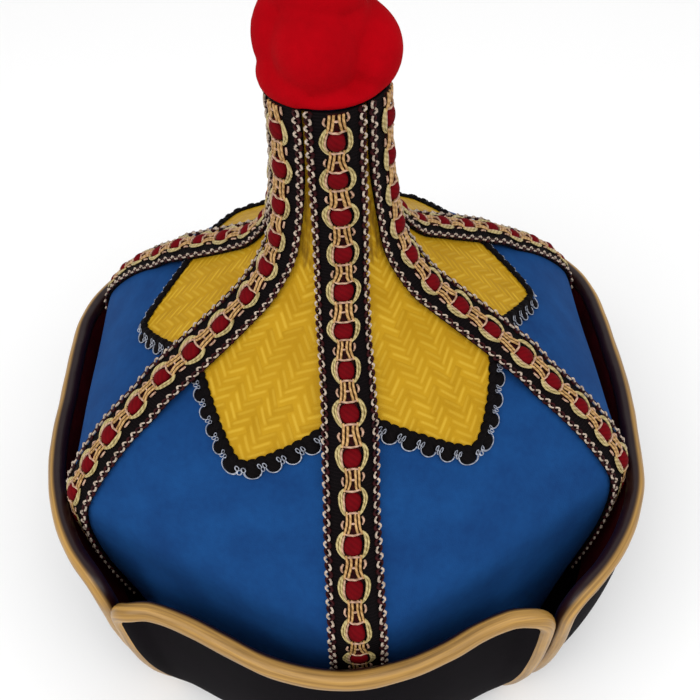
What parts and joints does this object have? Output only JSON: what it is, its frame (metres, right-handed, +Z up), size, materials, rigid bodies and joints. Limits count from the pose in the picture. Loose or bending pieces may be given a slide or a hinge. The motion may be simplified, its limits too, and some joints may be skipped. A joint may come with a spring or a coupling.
{
  "type": "mongolian hat",
  "caption": "Velvet hat with a gored bell crown, tall braided neck, padded knot on top and a turned-up flap brim around an open head hollow.",
  "frame": {"origin": "centre of the head opening, on the surface that the brim's fold rests on", "axes": "+Z up along the neck to the knot; -Y to the front flap; +X to the wearer's left, right in the picture"},
  "size_m": [0.2169, 0.2366, 0.2458],
  "materials": {
    "blue_velvet": "cut-pile velvet",
    "yellow_brocade": "satin brocade with a herringbone weave",
    "scalloped_lace": "black looped lace with silver stitches",
    "braid_ribbon": "black grosgrain with cream picot edges",
    "gold_gimp": "gold gimp cord with dark red knobs",
    "black_velvet": "cut-pile velvet",
    "wine_velvet": "cut-pile velvet",
    "gold_satin": "satin bias binding",
    "red_velvet": "padded cut-pile velvet"
  },
  "bodies": {
    "root": {"crown_gore_1": "blue_velvet", "collar_panel_1": "yellow_brocade", "lace_edging_1": "scalloped_lace", "seam_braid_1": "braid_ribbon", "seam_gimp_1": "gold_gimp", "crown_gore_2": "blue_velvet", "collar_panel_2": "yellow_brocade", "lace_edging_2": "scalloped_lace", "seam_braid_2": "braid_ribbon", "seam_gimp_2": "gold_gimp", "crown_gore_3": "blue_velvet", "collar_panel_3": "yellow_brocade", "lace_edging_3": "scalloped_lace", "seam_braid_3": "braid_ribbon", "seam_gimp_3": "gold_gimp", "crown_gore_4": "blue_velvet", "collar_panel_4": "yellow_brocade", "lace_edging_4": "scalloped_lace", "seam_braid_4": "braid_ribbon", "seam_gimp_4": "gold_gimp", "crown_gore_5": "blue_velvet", "collar_panel_5": "yellow_brocade", "lace_edging_5": "scalloped_lace", "seam_braid_5": "braid_ribbon", "seam_gimp_5": "gold_gimp", "crown_gore_6": "blue_velvet", "collar_panel_6": "yellow_brocade", "lace_edging_6": "scalloped_lace", "seam_braid_6": "braid_ribbon", "seam_gimp_6": "gold_gimp", "brim_flap_front": "black_velvet", "flap_facing_front": "wine_velvet", "flap_binding_front": "gold_satin", "brim_flap_right": "black_velvet", "flap_facing_right": "wine_velvet", "flap_binding_right": "gold_satin", "brim_flap_back": "black_velvet", "flap_facing_back": "wine_velvet", "flap_binding_back": "gold_satin", "brim_flap_left": "black_velvet", "flap_facing_left": "wine_velvet", "flap_binding_left": "gold_satin", "top_knot": "red_velvet"}
  },
  "joints": []
}
